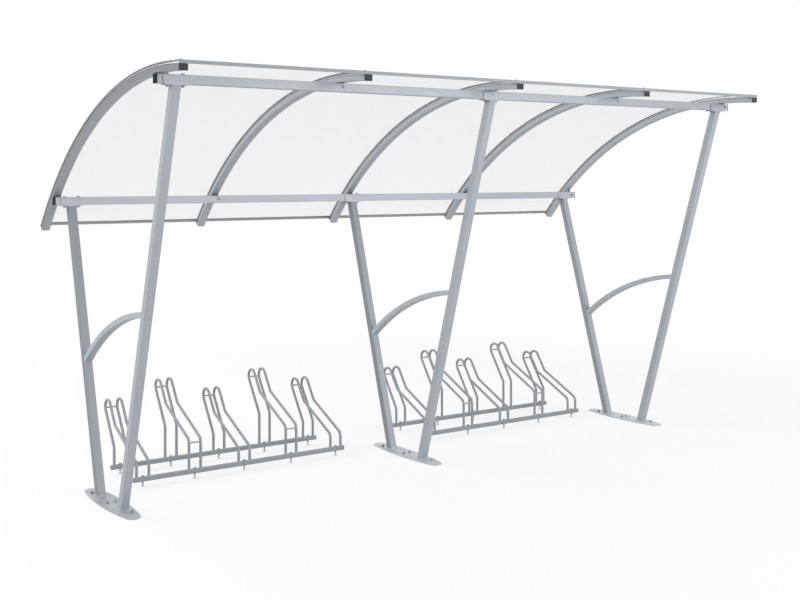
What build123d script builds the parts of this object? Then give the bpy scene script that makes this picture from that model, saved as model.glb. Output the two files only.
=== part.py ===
from build123d import *
from math import atan2, cos, degrees, hypot, radians, sin, sqrt, tan
import os

# Bike shelter: three V-shaped frames on lens-shaped base plates carry two straight rails.
# Five curved ribs cross the rails and hold four curved sheets of clear multiwall plastic.
# Two racks with low and high wheel places stand on the ground between the frames.
#
# Millimetres. X runs along the shelter, +Y to its rear, +Z up.
# The origin is on the ground, under the middle of the middle base plate.

os.makedirs("parts", exist_ok=True)

# Frames
bay_spacing = 2100.0
seat_gap = 0.3

# Base plates: a lens with rounded tips and four staggered anchor holes
plate_end_reach = 194.0
plate_width = 146.0
plate_thickness = 8.0
plate_tip_radius = 44.0
anchor_hole_radius = 7.0
anchor_stagger = 25.0
anchor_post_distance = 79.0

# Posts: square tubes that lean apart from the plate
post_side = 50.0
post_wall = 3.0
post_lean = 17.0
post_foot_offset = 178.0

# Brace: a bent flat tube between the two posts of a frame, as wide as they are
brace_height = 32.0
brace_radius = 1690.0
brace_front_z = 1152.0
brace_rear_z = 793.0

# Rails
rail_side = 50.0
rail_wall = 3.0
rail_overhang = 112.0
front_rail_z = 2411.0
rear_rail_z = 1752.5

# Cradles that hold the rails on the posts
cradle_base = 6.0
cradle_flange = 4.0
cradle_reach = 53.0
cradle_chamfer = 16.0
cradle_rim_drop = 8.0

# Plastic caps on tube ends
cap_thickness = 4.0

# Ribs: rectangular tubes rolled to one radius
rib_count = 5
rib_end_inset = 36.0
rib_shift = -8.5
rib_width = 50.0
rib_height = 35.0
rib_inner_radius = 2553.5
rib_front_overhang = 291.5
rib_rear_overhang = 302.0
rib_front_clearance = 2.5
rib_rear_clearance = 2.0

# Packers between ribs and rails
front_packer_width = 36.0
front_packer_length = 16.0
rear_packer_width = 45.0
rear_packer_length = 12.0

# Roof sheets with gaskets, clamp strips and edge profiles
gasket_thickness = 3.0
gasket_width = 44.0
sheet_thickness = 10.0
sheet_joint = 12.0
sheet_end_inset = 4.0
sheet_rear_margin = 8.0
strip_thickness = 3.0
strip_width = 46.0
front_angle_wall = 2.0
front_angle_flange = 50.0
edge_wall = 1.5
edge_depth = 15.0
edge_fit = 0.2
edge_joint = 2.0

# Racks
left_rack_shift = -63.0
right_rack_shift = 28.0
place_count = 5
place_pitch = 347.0
hoop_spacing = 80.0
hoop_diameter = 18.0
hoop_sides = 6
strand_spacing = 96.0
top_bend_parts = 5
knee_radius = 40.0
knee_parts = 2
hoop_lean = 35.0
rear_bar_y = 627.0
bar_distance = 375.0
top_bend_reach = 111.5
slant_knee_reach = 13.0
high_bend_z = 509.0
low_drop = 97.0
front_knee_z = 247.0
bar_side = 27.0
bar_wall = 2.0
bar_end = 20.0
bar_clear_height = 33.0
foot_radius = 6.0
foot_pad_radius = 12.0
foot_pad_thickness = 5.0
foot_sides = 6
tie_diameter = 10.0
top_tie_angle = 12.0
front_tie_drop = 20.0


def arc_centre(first, last, radius):
    """Centre of the circle through two (y, z) points whose arc bulges upwards between them."""
    run_y, run_z = last[0] - first[0], last[1] - first[1]
    chord = hypot(run_y, run_z)
    height = sqrt(radius ** 2 - (chord / 2) ** 2)
    middle_y, middle_z = (first[0] + last[0]) / 2, (first[1] + last[1]) / 2
    return (middle_y + height * run_z / chord, middle_z - height * run_y / chord)


def arc_angle(point, centre):
    """Angle in degrees of a (y, z) point about a centre, from straight up towards the rear."""
    return degrees(atan2(point[0] - centre[0], point[1] - centre[1]))


def swept_angle(radius, length):
    """Angle in degrees that an arc length takes up at a radius."""
    return degrees(length / radius)


# Worked-out sizes of the frames and rails
frame_places = {"left": -bay_spacing, "middle": 0.0, "right": bay_spacing}
lean = radians(post_lean)
front_rail_y = -(post_foot_offset + (front_rail_z - rail_side / 2 - cradle_base) * tan(lean))
rear_rail_y = post_foot_offset + (rear_rail_z - rail_side / 2 - cradle_base) * tan(lean)
rail_length = 2 * (bay_spacing + rail_overhang)
plate_length = 2 * (post_foot_offset + plate_end_reach)
anchor_reach = post_foot_offset + anchor_post_distance
cradle_length = post_side + 2 * cradle_reach

# Worked-out sizes of the roof: the ribs pass over the front rail and just behind the rear rail's top edge
front_rib_seat = (front_rail_y, front_rail_z + rail_side / 2 + rib_front_clearance)
rear_rib_seat = (rear_rail_y + rail_side / 2 + rib_rear_clearance, rear_rail_z + rail_side / 2)
rib_centre = arc_centre(front_rib_seat, rear_rib_seat, rib_inner_radius)
rib_front_angle = arc_angle(front_rib_seat, rib_centre) - swept_angle(rib_inner_radius, rib_front_overhang)
rib_rear_angle = arc_angle(rear_rib_seat, rib_centre) + swept_angle(rib_inner_radius, rib_rear_overhang)
rib_spacing = (rail_length - 2 * rib_end_inset) / (rib_count - 1)
rib_outer_radius = rib_inner_radius + rib_height
gasket_radius = rib_outer_radius + seat_gap
sheet_inner_radius = gasket_radius + gasket_thickness + seat_gap
sheet_outer_radius = sheet_inner_radius + sheet_thickness
strip_inner_radius = sheet_outer_radius + seat_gap
strip_outer_radius = strip_inner_radius + strip_thickness
front_angle_radius = strip_outer_radius + seat_gap
front_angle_start = rib_front_angle - swept_angle(rib_inner_radius, cap_thickness)
sheet_front_angle = front_angle_start + swept_angle(sheet_inner_radius, front_angle_wall + edge_fit)
sheet_rear_angle = rib_rear_angle - swept_angle(sheet_inner_radius, sheet_rear_margin)
rib_places = [rib_shift + (i - (rib_count - 1) / 2) * rib_spacing for i in range(rib_count)]

# Worked-out sizes of the racks
rack_centres = {"left": left_rack_shift - bay_spacing / 2, "right": right_rack_shift + bay_spacing / 2}
front_bar_y = rear_bar_y - bar_distance
slant_knee_y = rear_bar_y - slant_knee_reach
top_bend_y = rear_bar_y + top_bend_reach
place_offsets = [(i - (place_count - 1) / 2) * place_pitch for i in range(place_count)]
bar_top = bar_clear_height + bar_side


def arc_point(radius, angle, centre=rib_centre):
    """Point in the YZ plane on a circle; the angle is in degrees from straight up towards the rear."""
    a = radians(angle)
    return (centre[0] + radius * sin(a), centre[1] + radius * cos(a))


def side_profile(points, x_low, x_high):
    """Prism along X between two places, from an outline of (y, z) points."""
    face = Plane.YZ * make_face(Polyline(*points, close=True))
    return Pos(x_low, 0, 0) * extrude(face, amount=x_high - x_low)


def arc_band(r_in, r_out, a_start, a_end, x_low, x_high, centre=rib_centre):
    """Curved bar between two radii and two angles, straight along X."""
    a_mid = (a_start + a_end) / 2
    outer = [arc_point(r_out, a, centre) for a in (a_start, a_mid, a_end)]
    inner = [arc_point(r_in, a, centre) for a in (a_end, a_mid, a_start)]
    edges = [ThreePointArc(*outer), Line(outer[2], inner[0]), ThreePointArc(*inner), Line(inner[2], outer[0])]
    face = Plane.YZ * make_face(edges)
    return Pos(x_low, 0, 0) * extrude(face, amount=x_high - x_low)


def base_plate(x):
    """Lens-shaped plate with rounded tips and staggered anchor holes, flat on the ground."""
    half_width = plate_width / 2
    tip_y = plate_length / 2 - plate_tip_radius
    side_rise = half_width - plate_tip_radius
    side_radius = (tip_y ** 2 + half_width ** 2 - plate_tip_radius ** 2) / (2 * side_rise)
    centre_x = half_width - side_radius
    reach = side_radius / (side_radius - plate_tip_radius)
    join_x = centre_x - centre_x * reach
    join_y = tip_y * reach
    corners = [(join_x, join_y), (-join_x, join_y), (-join_x, -join_y), (join_x, -join_y)]
    edges = [
        ThreePointArc(corners[0], (0, plate_length / 2), corners[1]),
        ThreePointArc(corners[1], (-half_width, 0), corners[2]),
        ThreePointArc(corners[2], (0, -plate_length / 2), corners[3]),
        ThreePointArc(corners[3], (half_width, 0), corners[0]),
    ]
    plate = extrude(make_face(edges), amount=plate_thickness)
    for side in (-1, 1):
        for hole_y in (0, -side * anchor_reach):
            hole = Cylinder(anchor_hole_radius, plate_thickness)
            plate -= Pos(side * anchor_stagger, hole_y, plate_thickness / 2) * hole
    return Pos(x, 0, 0) * plate


def post_outline(side, inset, z_low, z_high):
    """Side view of a leaning post between two heights; side is -1 for the front post, 1 for the rear one."""
    half_depth = (post_side / 2 - inset) / cos(lean)
    low_y = side * (post_foot_offset + z_low * tan(lean))
    high_y = side * (post_foot_offset + z_high * tan(lean))
    return [
        (low_y - half_depth, z_low), (low_y + half_depth, z_low),
        (high_y + half_depth, z_high), (high_y - half_depth, z_high),
    ]


def post(x, side, rail_z):
    """Square tube leaning from the base plate up to the underside of its cradle."""
    z_high = rail_z - rail_side / 2 - cradle_base
    outer_half = post_side / 2
    inner_half = outer_half - post_wall
    tube = side_profile(post_outline(side, 0, plate_thickness, z_high), -outer_half, outer_half)
    tube -= side_profile(post_outline(side, post_wall, plate_thickness, z_high), -inner_half, inner_half)
    return Pos(x, 0, 0) * tube


def post_inner_face(side, z):
    """Y of the post's face that looks at the other post, at a height."""
    return side * (post_foot_offset + z * tan(lean) - post_side / 2 / cos(lean))


def brace(x):
    """Bent flat tube from the rear post up to the front post; they close it, so it stays solid inside."""
    front_end = (post_inner_face(-1, brace_front_z), brace_front_z)
    rear_end = (post_inner_face(1, brace_rear_z), brace_rear_z)
    centre = arc_centre(front_end, rear_end, brace_radius)
    spare = swept_angle(brace_radius, 2 * brace_height)
    a_start, a_end = arc_angle(front_end, centre) - spare, arc_angle(rear_end, centre) + spare
    low, high = brace_radius - brace_height / 2, brace_radius + brace_height / 2
    half = post_side / 2
    bar = arc_band(low, high, a_start, a_end, -half, half, centre)
    z_low = plate_thickness
    z_high = front_rail_z - rail_side
    between = [
        (post_inner_face(-1, z_low), z_low), (post_inner_face(1, z_low), z_low),
        (post_inner_face(1, z_high), z_high), (post_inner_face(-1, z_high), z_high),
    ]
    return Pos(x, 0, 0) * (bar & side_profile(between, -half, half))


def cradle(x, rail_y, rail_z):
    """U-shaped cradle under a rail, with chamfered lower corners."""
    bottom = rail_z - rail_side / 2 - cradle_base
    rim = rail_z + rail_side / 2 - cradle_rim_drop
    half_depth = rail_side / 2 + seat_gap + cradle_flange
    half_length = cradle_length / 2
    base_half = half_length - cradle_chamfer
    outline = [
        (-base_half, bottom), (base_half, bottom), (half_length, bottom + cradle_chamfer),
        (half_length, rim), (-half_length, rim), (-half_length, bottom + cradle_chamfer),
    ]
    block = extrude(Plane.XZ * make_face(Polyline(*outline, close=True)), amount=half_depth, both=True)
    upward = (Align.CENTER, Align.CENTER, Align.MIN)
    trough = Box(cradle_length, rail_side + 2 * seat_gap, rim - bottom, align=upward)
    block -= Pos(0, 0, bottom + cradle_base) * trough
    return Pos(x, rail_y, 0) * block


def cradles(rail_y, rail_z):
    """The cradles of one rail, one on each post."""
    return Compound(children=[cradle(x, rail_y, rail_z) for x in frame_places.values()])


def rail(rail_y, rail_z):
    """Straight square tube between its two end caps."""
    length = rail_length - 2 * cap_thickness
    hollow = rail_side - 2 * rail_wall
    tube = Box(length, rail_side, rail_side) - Box(length, hollow, hollow)
    return Pos(0, rail_y, rail_z) * tube


def rail_caps():
    """Plastic caps on both ends of both rails."""
    caps = []
    for rail_y, rail_z in ((front_rail_y, front_rail_z), (rear_rail_y, rear_rail_z)):
        for side in (-1, 1):
            x = side * (rail_length - cap_thickness) / 2
            caps.append(Pos(x, rail_y, rail_z) * Box(cap_thickness, rail_side, rail_side))
    return Compound(children=caps)


def rib(x):
    """Rectangular tube rolled to the roof's radius; its caps close it, so it stays solid inside."""
    half = rib_width / 2
    return arc_band(rib_inner_radius, rib_outer_radius, rib_front_angle, rib_rear_angle, x - half, x + half)


def rib_front_cap(x):
    """Cap on a rib's front end."""
    half = rib_width / 2
    a_start = rib_front_angle - swept_angle(rib_inner_radius, cap_thickness)
    return arc_band(rib_inner_radius, rib_outer_radius, a_start, rib_front_angle, x - half, x + half)


def rib_rear_cap(x):
    """End plate that closes a rib's rear end and the gasket, sheets and clamp strip on it."""
    half = rib_width / 2
    a_end = rib_rear_angle + swept_angle(rib_inner_radius, cap_thickness)
    return arc_band(rib_inner_radius, strip_outer_radius, rib_rear_angle, a_end, x - half, x + half)


def rib_underside(y):
    """Height of the ribs' underside above a place, less the seat gap."""
    radius = rib_inner_radius - seat_gap
    return rib_centre[1] + sqrt(radius ** 2 - (y - rib_centre[0]) ** 2)


def packers(rail_z, front, rear, width):
    """Packers that fill the space between a rail's top and every rib, between two places along Y."""
    top = rail_z + rail_side / 2
    half = width / 2
    outline = [(front, top), (rear, top), (rear, rib_underside(rear)), (front, rib_underside(front))]
    return Compound(children=[side_profile(outline, x - half, x + half) for x in rib_places])


def front_packers():
    """Flat packers along the middle of the front rail's top."""
    half = front_packer_length / 2
    return packers(front_rail_z, front_rail_y - half, front_rail_y + half, front_packer_width)


def rear_packers():
    """Wedges along the rear edge of the rear rail's top."""
    rear = rear_rail_y + rail_side / 2
    return packers(rear_rail_z, rear - rear_packer_length, rear, rear_packer_width)


def sheet_ends(bay):
    """X of a sheet's two sides: near the middle of an inner rib, and near the outer side of an end rib."""
    outer_reach = rib_width / 2 - sheet_end_inset
    x_low = rib_places[bay] + (sheet_joint / 2 if bay > 0 else -outer_reach)
    x_high = rib_places[bay + 1] - (sheet_joint / 2 if bay < rib_count - 2 else -outer_reach)
    return x_low, x_high


def roof_sheet(bay):
    """Curved sheet over one bay."""
    section = (sheet_inner_radius, sheet_outer_radius, sheet_front_angle, sheet_rear_angle)
    return arc_band(*section, *sheet_ends(bay))


def along_ribs(radius, thickness, width):
    """One curved strip over every rib, from the roof's front to the ribs' rear end plates."""
    half = width / 2
    section = (radius, radius + thickness, sheet_front_angle, rib_rear_angle)
    return Compound(children=[arc_band(*section, x - half, x + half) for x in rib_places])


def front_edge_angle():
    """Angle bar that closes the sheets' front edges and lies on the clamp strips' ends."""
    ends = (rib_places[0] - rib_width / 2, rib_places[-1] + rib_width / 2)
    top_radius = front_angle_radius + front_angle_wall
    web_end = front_angle_start + swept_angle(rib_outer_radius, front_angle_wall)
    flange_end = front_angle_start + swept_angle(rib_outer_radius, front_angle_flange)
    web = arc_band(rib_outer_radius + seat_gap, top_radius, front_angle_start, web_end, *ends)
    return web + arc_band(front_angle_radius, top_radius, front_angle_start, flange_end, *ends)


def rear_edge_profile(bay):
    """U-profile over a sheet's rear edge, between the clamp strips on both sides."""
    inset = strip_width / 2 + edge_joint
    ends = (rib_places[bay] + inset, rib_places[bay + 1] - inset)
    low, high = sheet_inner_radius - edge_fit, sheet_outer_radius + edge_fit
    a_start = sheet_rear_angle - swept_angle(sheet_inner_radius, edge_depth)
    slot_end = sheet_rear_angle + swept_angle(sheet_inner_radius, edge_fit)
    a_end = slot_end + swept_angle(sheet_inner_radius, edge_wall)
    profile = arc_band(low - edge_wall, high + edge_wall, a_start, a_end, *ends)
    return profile - arc_band(low, high, a_start, slot_end, *ends)


def arc_points(radius, a_start, a_end, parts, centre):
    """Evenly spaced (y, z) points on an arc, with both ends."""
    return [arc_point(radius, a_start + (a_end - a_start) * i / parts, centre) for i in range(parts + 1)]


def prism(radius, sides, height):
    """Upright bar with a regular outline, standing on the ground plane."""
    return extrude(RegularPolygon(radius, sides), amount=height)


def hoop_bend(drop):
    """Centre of a hoop's top bend in the YZ plane."""
    return (top_bend_y, high_bend_z - drop)


def hoop_points(drop):
    """Corners of a bent hoop's centre line, from the rear bar over the top bend to the front bar."""
    slope = tan(radians(hoop_lean))
    bend = hoop_bend(drop)
    top = arc_points(strand_spacing / 2, 90 + hoop_lean, hoop_lean - 90, top_bend_parts, bend)
    rear_knee_z = top[0][1] - (top[0][0] - rear_bar_y) / slope
    slant_knee_z = top[-1][1] - (top[-1][0] - slant_knee_y) / slope
    corner_z = front_knee_z - drop
    rise = degrees(atan2(slant_knee_z - corner_z, slant_knee_y - front_bar_y))
    knee_centre = (front_bar_y + knee_radius, corner_z - knee_radius * tan(radians(90 - rise) / 2))
    knee = arc_points(knee_radius, -rise, -90, knee_parts, knee_centre)
    foot, rear_knee = (rear_bar_y, bar_top), (rear_bar_y, rear_knee_z)
    return [foot, rear_knee, *top, (slant_knee_y, slant_knee_z), *knee, (front_bar_y, bar_top)]


def hoop(x, drop):
    """Bar of few sides, bent to the hoop's centre line."""
    path = Polyline(*[(0, y, z) for y, z in hoop_points(drop)])
    section = Plane(origin=path @ 0, z_dir=path % 0) * RegularPolygon(hoop_diameter / 2, hoop_sides)
    return Pos(x, 0, 0) * sweep(section, path=path, transition=Transition.RIGHT)


def cross_tie(x, place):
    """Thin rod between the two hoops of a wheel place, at a (y, z) point."""
    rod = prism(tie_diameter / 2, hoop_sides, hoop_spacing)
    return Pos(x - hoop_spacing / 2, *place) * Rot(0, 90, 0) * rod


def rack_place(x, high):
    """Two hoops side by side with their cross ties: one wheel place."""
    drop = 0.0 if high else low_drop
    place = hoop(x - hoop_spacing / 2, drop) + hoop(x + hoop_spacing / 2, drop)
    place += cross_tie(x, arc_point(strand_spacing / 2, 90 + top_tie_angle, hoop_bend(drop)))
    if high:
        place += cross_tie(x, (front_bar_y, front_knee_z - front_tie_drop))
    return place


def rack_bar(centre_x, bar_y):
    """Square tube along a rack, on a levelling foot under every place."""
    length = (place_count - 1) * place_pitch + hoop_spacing + 2 * bar_end
    hollow = bar_side - 2 * bar_wall
    bar = Box(length, bar_side, bar_side) - Box(length, hollow, hollow)
    bar = Pos(0, 0, bar_clear_height + bar_side / 2) * bar
    for foot_x in place_offsets:
        bar += Pos(foot_x, 0, 0) * prism(foot_pad_radius, foot_sides, foot_pad_thickness)
        bar += Pos(foot_x, 0, 0) * prism(foot_radius, foot_sides, bar_clear_height + bar_wall)
    return Pos(centre_x, bar_y, 0) * bar


def rack_bars(centre_x):
    """A rack's front and rear bar."""
    return Compound(children=[rack_bar(centre_x, bar_y) for bar_y in (front_bar_y, rear_bar_y)])


def save(shape, node):
    """Write one sub-part under its node's name."""
    export_step(shape, f"parts/{node}.step")


for name, x in frame_places.items():
    save(base_plate(x), f"base_plate_{name}")
    save(post(x, -1, front_rail_z), f"front_post_{name}")
    save(post(x, 1, rear_rail_z), f"rear_post_{name}")
    save(brace(x), f"brace_{name}")

save(cradles(front_rail_y, front_rail_z), "front_cradles")
save(cradles(rear_rail_y, rear_rail_z), "rear_cradles")
save(rail(front_rail_y, front_rail_z), "front_rail")
save(rail(rear_rail_y, rear_rail_z), "rear_rail")
save(rail_caps(), "rail_caps")

for i, x in enumerate(rib_places):
    save(rib(x), f"roof_rib_{i + 1}")
save(Compound(children=[rib_front_cap(x) for x in rib_places]), "rib_front_caps")
save(Compound(children=[rib_rear_cap(x) for x in rib_places]), "rib_rear_caps")
save(front_packers(), "front_cleats")
save(rear_packers(), "rear_cleats")

for bay in range(rib_count - 1):
    save(roof_sheet(bay), f"roof_sheet_{bay + 1}")
save(along_ribs(gasket_radius, gasket_thickness, gasket_width), "glazing_gaskets")
save(along_ribs(strip_inner_radius, strip_thickness, strip_width), "clamp_strips")
save(front_edge_angle(), "front_edge_angle")
save(Compound(children=[rear_edge_profile(bay) for bay in range(rib_count - 1)]), "rear_edge_profiles")

for name, centre_x in rack_centres.items():
    save(rack_bars(centre_x), f"rack_{name}_bars")
    for i, offset in enumerate(place_offsets):
        save(rack_place(centre_x + offset, i % 2 == 1), f"rack_{name}_place_{i + 1}")
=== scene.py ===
"""Looks of a bike shelter: finishes, fastenings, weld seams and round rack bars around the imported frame.

Lengths are in metres. X runs along the shelter, +Y to its rear, +Z up, and the origin lies on the
ground under the middle of the middle base plate.
"""

import logging
import math
from dataclasses import dataclass, field
from enum import Enum
from typing import Iterable, Sequence, Union

import bmesh
import bpy
from mathutils import Matrix, Vector


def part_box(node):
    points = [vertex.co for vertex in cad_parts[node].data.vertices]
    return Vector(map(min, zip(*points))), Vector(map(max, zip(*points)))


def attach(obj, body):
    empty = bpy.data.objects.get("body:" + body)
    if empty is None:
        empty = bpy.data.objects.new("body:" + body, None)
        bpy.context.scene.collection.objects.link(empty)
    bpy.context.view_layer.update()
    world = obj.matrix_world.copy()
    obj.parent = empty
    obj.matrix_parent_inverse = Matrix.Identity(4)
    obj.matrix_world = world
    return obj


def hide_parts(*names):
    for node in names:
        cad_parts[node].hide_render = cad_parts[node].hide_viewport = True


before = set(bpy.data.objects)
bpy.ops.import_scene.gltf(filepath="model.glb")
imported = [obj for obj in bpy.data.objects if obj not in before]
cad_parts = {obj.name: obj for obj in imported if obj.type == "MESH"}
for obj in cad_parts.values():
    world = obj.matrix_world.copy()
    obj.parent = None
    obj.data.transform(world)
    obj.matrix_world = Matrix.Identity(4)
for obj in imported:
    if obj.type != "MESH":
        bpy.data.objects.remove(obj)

LOG = logging.getLogger("bike_shelter")
ROOT = "root"
UP = Vector((0.0, 0.0, 1.0))
DOWN = Vector((0.0, 0.0, -1.0))
FORWARD = Vector((0.0, -1.0, 0.0))
NEXT_TO_NOTHING = 1e-6  # a length that counts as none
MERGE_REACH = 1e-5  # distance within which a solid's corners are joined before its edges are rounded
EDGE_ANGLE = 35.0  # degrees from which an edge is rounded
RIB_TONE = (0.475, 0.510, 0.545)
WHITE = (1.0, 1.0, 1.0, 1.0)

Number = Union["Wire", float]
Colour = tuple[float, float, float]
Triple = tuple[float, float, float]
Material = bpy.types.Material
Mesh = bmesh.types.BMesh


class Slot(str, Enum):
    """Names of the record's material slots, one passed with each new piece."""

    GALVANISED = "galvanised_steel"
    DARK_STEEL = "dark_steel"
    ALUMINIUM = "aluminium"
    GREY_PLASTIC = "grey_plastic"
    RUBBER = "black_rubber"


class Grain(Enum):
    """Direction in which a metal's fine streaks run, as the stretch of the streak pattern."""

    ALONG = (0.06, 1.0, 1.0)
    ACROSS = (1.0, 0.06, 1.0)
    UPRIGHT = (1.0, 1.0, 0.06)


class Wire:
    """A shader socket that takes part in Python arithmetic: each operator adds its Math node."""

    def __init__(self, recipe: "Recipe", socket: bpy.types.NodeSocket | None) -> None:
        """Holds an output socket of a recipe's node.

        Args:
            recipe: The node tree that the socket belongs to.
            socket: The output socket, or None for a node without one.
        """
        self.recipe = recipe
        self.socket = socket

    def _math(self, operation: str, first: Number, second: Number) -> "Wire":
        """Adds a Math node.

        Args:
            operation: The node's operation.
            first: The first value.
            second: The second value.

        Returns:
            The node's result.
        """
        return self.recipe.node("ShaderNodeMath", {"operation": operation}, {0: first, 1: second})

    def __add__(self, other: Number) -> "Wire":
        """Sum."""
        return self._math("ADD", self, other)

    def __radd__(self, other: Number) -> "Wire":
        """Sum with a number on the left."""
        return self._math("ADD", other, self)

    def __sub__(self, other: Number) -> "Wire":
        """Difference."""
        return self._math("SUBTRACT", self, other)

    def __rsub__(self, other: Number) -> "Wire":
        """Difference with a number on the left."""
        return self._math("SUBTRACT", other, self)

    def __mul__(self, other: Number) -> "Wire":
        """Product."""
        return self._math("MULTIPLY", self, other)

    def __rmul__(self, other: Number) -> "Wire":
        """Product with a number on the left."""
        return self._math("MULTIPLY", other, self)

    def __truediv__(self, other: Number) -> "Wire":
        """Quotient."""
        return self._math("DIVIDE", self, other)

    def __rtruediv__(self, other: Number) -> "Wire":
        """Quotient with a number on the left."""
        return self._math("DIVIDE", other, self)

    def __abs__(self) -> "Wire":
        """Distance from 0."""
        return self.recipe.node("ShaderNodeMath", {"operation": "ABSOLUTE"}, {0: self})

    def above(self, limit: float, softness: float) -> "Wire":
        """Soft step from 0 to 1 as the value passes a limit.

        Args:
            limit: Value at the middle of the step.
            softness: Width of the step.

        Returns:
            The step.
        """
        settings = {"interpolation_type": "SMOOTHSTEP"}
        inputs = {"Value": self, "From Min": limit - softness / 2, "From Max": limit + softness / 2}
        return self.recipe.node("ShaderNodeMapRange", settings, inputs)


class Recipe:
    """Builds one material's or world's node tree."""

    def __init__(self, tree: bpy.types.NodeTree) -> None:
        """Starts from an emptied tree.

        Args:
            tree: The tree to fill.
        """
        self.tree = tree
        self.spots: dict[Triple, Wire] = {}
        tree.nodes.clear()

    def node(self, kind: str, settings: dict[str, object] | None = None,
             inputs: dict[int | str, object] | None = None, out: int | str = 0) -> Wire:
        """Adds a node, first its settings and then its sockets.

        Args:
            kind: The node's type.
            settings: Its properties by name.
            inputs: Values or wires by socket name or number.
            out: The output to return.

        Returns:
            The chosen output.
        """
        made = self.tree.nodes.new(kind)
        for name, value in (settings or {}).items():
            setattr(made, name, value)
        for name, value in (inputs or {}).items():
            if isinstance(value, Wire):
                self.tree.links.new(value.socket, made.inputs[name])
            else:
                made.inputs[name].default_value = value
        return Wire(self, made.outputs[out] if len(made.outputs) else None)

    def spot(self, stretch: Triple = (1.0, 1.0, 1.0)) -> Wire:
        """Object coordinates, stretched.

        Args:
            stretch: Scale of the coordinates along X, Y and Z.

        Returns:
            The coordinates.
        """
        if stretch not in self.spots:
            place = self.node("ShaderNodeTexCoord", out="Object")
            self.spots[stretch] = self.node("ShaderNodeMapping", {}, {"Vector": place, "Scale": stretch})
        return self.spots[stretch]

    def along(self, axis: str) -> Wire:
        """Object coordinate along X, Y or Z."""
        return self.node("ShaderNodeSeparateXYZ", {}, {0: self.spot()}, axis)

    def noise(self, spot: Wire, per_metre: float, detail: float = 3.0, roughness: float = 0.5) -> Wire:
        """Smooth noise about 0.

        Args:
            spot: Coordinates.
            per_metre: Its scale.
            detail: Number of finer layers.
            roughness: Weight of the finer layers.

        Returns:
            Noise from about -0.5 to 0.5.
        """
        inputs = {"Vector": spot, "Scale": per_metre, "Detail": detail, "Roughness": roughness}
        return self.node("ShaderNodeTexNoise", {}, inputs) - 0.5

    def cells(self, spot: Wire, per_metre: float) -> Wire:
        """A random value for each cell of a crystal pattern.

        Args:
            spot: Coordinates.
            per_metre: Cells in a metre.

        Returns:
            A value from -0.5 to 0.5.
        """
        cell = self.node("ShaderNodeTexVoronoi", {}, {"Vector": spot, "Scale": per_metre}, "Color")
        return self.node("ShaderNodeSeparateColor", {}, {0: cell}) - 0.5

    def shade(self, colour: Union[Colour, Wire], light: Wire) -> Wire:
        """A colour made lighter or darker.

        Args:
            colour: The plain colour.
            light: Factor about 1.

        Returns:
            The colour times the factor.
        """
        settings = {"operation": "SCALE"}
        return self.node("ShaderNodeVectorMath", settings, {0: colour, "Scale": light})

    def blend(self, factor: Wire, low: Union[Colour, Wire], high: Union[Colour, Wire]) -> Wire:
        """A colour between two others.

        Args:
            factor: 0 for the first colour, 1 for the second.
            low: The first colour.
            high: The second colour.

        Returns:
            The mixed colour.
        """
        ends = [end if isinstance(end, Wire) else (*end, 1.0) for end in (low, high)]
        inputs = {"Factor": factor, "A": ends[0], "B": ends[1]}
        return self.node("ShaderNodeMix", {"data_type": "RGBA"}, inputs, "Result")

    def bump(self, height: Wire, depth: float) -> Wire:
        """A surface normal from a height pattern.

        Args:
            height: The pattern.
            depth: Height of one unit of the pattern, in metres.

        Returns:
            The normal.
        """
        return self.node("ShaderNodeBump", {}, {"Height": height, "Distance": depth, "Strength": 1.0})


def surface(name: str) -> tuple[Material, Recipe]:
    """Starts a material.

    Args:
        name: The material's name.

    Returns:
        The material and its recipe.
    """
    material = bpy.data.materials.new(name)
    material.use_nodes = True
    return material, Recipe(material.node_tree)


def principled(recipe: Recipe, **sockets: object) -> None:
    """Ends a recipe with a Principled shader on the output.

    Args:
        recipe: The recipe.
        sockets: Values by socket name, with _ for a space.
    """
    inputs = {name.replace("_", " "): value for name, value in sockets.items()}
    shader = recipe.node("ShaderNodeBsdfPrincipled", {}, inputs)
    recipe.node("ShaderNodeOutputMaterial", {}, {"Surface": shader})


@dataclass(frozen=True)
class Pattern:
    """A noise pattern of a finish, and how much it adds to light, dullness and relief."""

    per_metre: float
    detail: float = 3.0
    roughness: float = 0.5
    stretch: Triple = (1.0, 1.0, 1.0)
    light: float = 0.0
    dullness: float = 0.0
    relief: float = 0.0

    def wire(self, recipe: Recipe) -> Wire:
        """The pattern's value, from about -0.5 to 0.5."""
        return recipe.noise(recipe.spot(self.stretch), self.per_metre, self.detail, self.roughness)


@dataclass(frozen=True)
class Crystals(Pattern):
    """A pattern of crystals in place of noise."""

    def wire(self, recipe: Recipe) -> Wire:
        """The value of the crystal at a place, from -0.5 to 0.5."""
        return recipe.cells(recipe.spot(self.stretch), self.per_metre)


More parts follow.
